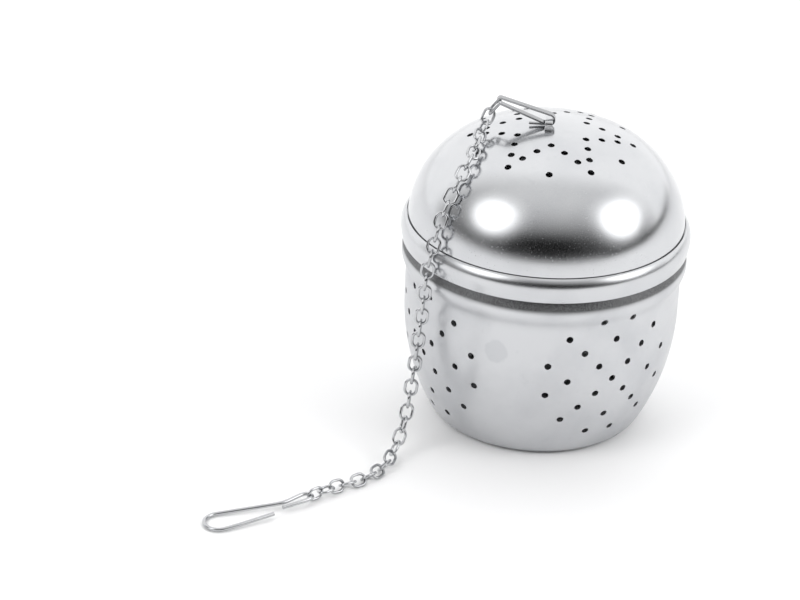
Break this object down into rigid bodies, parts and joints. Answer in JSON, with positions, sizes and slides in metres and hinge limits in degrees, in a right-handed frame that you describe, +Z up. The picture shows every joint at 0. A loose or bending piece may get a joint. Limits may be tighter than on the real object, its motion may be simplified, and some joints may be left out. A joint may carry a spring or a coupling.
{
  "type": "tea infuser",
  "caption": "Egg-shaped perforated steel tea infuser with a screw-on domed lid, a swinging bail, a link chain and a wire hook for a cup's rim.",
  "frame": {"origin": "middle of the flat base the infuser stands on", "axes": "+Z up along the egg's axis; the chain and hook lie towards -X and -Y"},
  "size_m": [0.0782, 0.0761, 0.0588],
  "materials": {
    "cup_steel": "satin stainless steel",
    "lid_steel": "polished stainless steel, fine brushing",
    "fitting_steel": "stainless strip",
    "chain_steel": "stainless wire",
    "hook_steel": "stainless wire"
  },
  "bodies": {
    "cup": {"cup_shell": "cup_steel", "cup_thread": "cup_steel"},
    "collar": {"lid_collar": "lid_steel"},
    "lid": {"lid_dome": "lid_steel", "lid_thread": "lid_steel", "strap": "fitting_steel"},
    "bail": {"bail": "fitting_steel"},
    "run_1": {"link_1": "chain_steel", "link_2": "chain_steel", "link_3": "chain_steel", "link_4": "chain_steel", "link_5": "chain_steel", "link_6": "chain_steel"},
    "run_2": {"link_7": "chain_steel", "link_8": "chain_steel", "link_9": "chain_steel", "link_10": "chain_steel", "link_11": "chain_steel"},
    "run_3": {"link_12": "chain_steel", "link_13": "chain_steel", "link_14": "chain_steel", "link_15": "chain_steel", "link_16": "chain_steel", "link_17": "chain_steel"},
    "run_4": {"link_18": "chain_steel", "link_19": "chain_steel", "link_20": "chain_steel", "link_21": "chain_steel", "link_22": "chain_steel", "link_23": "chain_steel"},
    "run_5": {"link_24": "chain_steel", "link_25": "chain_steel", "link_26": "chain_steel", "link_27": "chain_steel", "link_28": "chain_steel", "link_29": "chain_steel"},
    "run_6": {"link_30": "chain_steel", "link_31": "chain_steel", "link_32": "chain_steel", "link_33": "chain_steel", "link_34": "chain_steel"},
    "run_7": {"link_35": "chain_steel", "link_36": "chain_steel", "link_37": "chain_steel", "link_38": "chain_steel", "link_39": "chain_steel", "link_40": "chain_steel"},
    "hook": {"hook": "hook_steel"}
  },
  "joints": [
    {"name": "lid_rise", "type": "slide", "parent": "cup", "child": "collar", "axis": [0, 0, 1], "range_m": [0, 0.004]},
    {"name": "lid_turn", "type": "hinge", "parent": "collar", "child": "lid", "pos_m": [0, 0, 0.037], "axis": [0, 0, 1], "range_deg": [0, 720]},
    {"name": "bail_swing", "type": "hinge", "parent": "lid", "child": "bail", "pos_m": [-0.00065, 0, 0.05525], "axis": [0, 1, 0], "range_deg": [0, 120]},
    {"name": "chain_hang", "type": "hinge", "parent": "bail", "child": "run_1", "pos_m": [-0.00909, 0, 0.05812], "axis": [0, 1, 0], "range_deg": [0, 30]},
    {"name": "chain_bend_1", "type": "hinge", "parent": "run_1", "child": "run_2", "pos_m": [-0.01318, -0.00961, 0.05163], "axis": [-0.5889, 0.8082, 0], "range_deg": [0, 20]},
    {"name": "chain_bend_2", "type": "hinge", "parent": "run_2", "child": "run_3", "pos_m": [-0.01723, -0.01604, 0.0437], "axis": [-0.7321, -0.6813, 0], "range_deg": [-12, 12]},
    {"name": "chain_bend_3", "type": "hinge", "parent": "run_3", "child": "run_4", "pos_m": [-0.01959, -0.01784, 0.03074], "axis": [-0.6733, 0.7393, 0], "range_deg": [0, 20]},
    {"name": "chain_bend_4", "type": "hinge", "parent": "run_4", "child": "run_5", "pos_m": [-0.02057, -0.01817, 0.01735], "axis": [-0.7494, -0.6621, 0], "range_deg": [-12, 12]},
    {"name": "chain_bend_5", "type": "hinge", "parent": "run_5", "child": "run_6", "pos_m": [-0.02226, -0.02107, 0.00447], "axis": [-0.6875, 0.7262, 0], "range_deg": [0, 15]},
    {"name": "chain_bend_6", "type": "hinge", "parent": "run_6", "child": "run_7", "pos_m": [-0.02626, -0.03035, 0.00097], "axis": [0, 0, 1], "range_deg": [-20, 20]},
    {"name": "hook_swing", "type": "hinge", "parent": "run_7", "child": "hook", "pos_m": [-0.03641, -0.03953, 0.0013], "axis": [0, 0, 1], "range_deg": [-30, 30]}
  ],
  "couplings": [
    {"joint": "lid_rise", "follows": "lid_turn", "m_per_rad": 0.00031831}
  ]
}
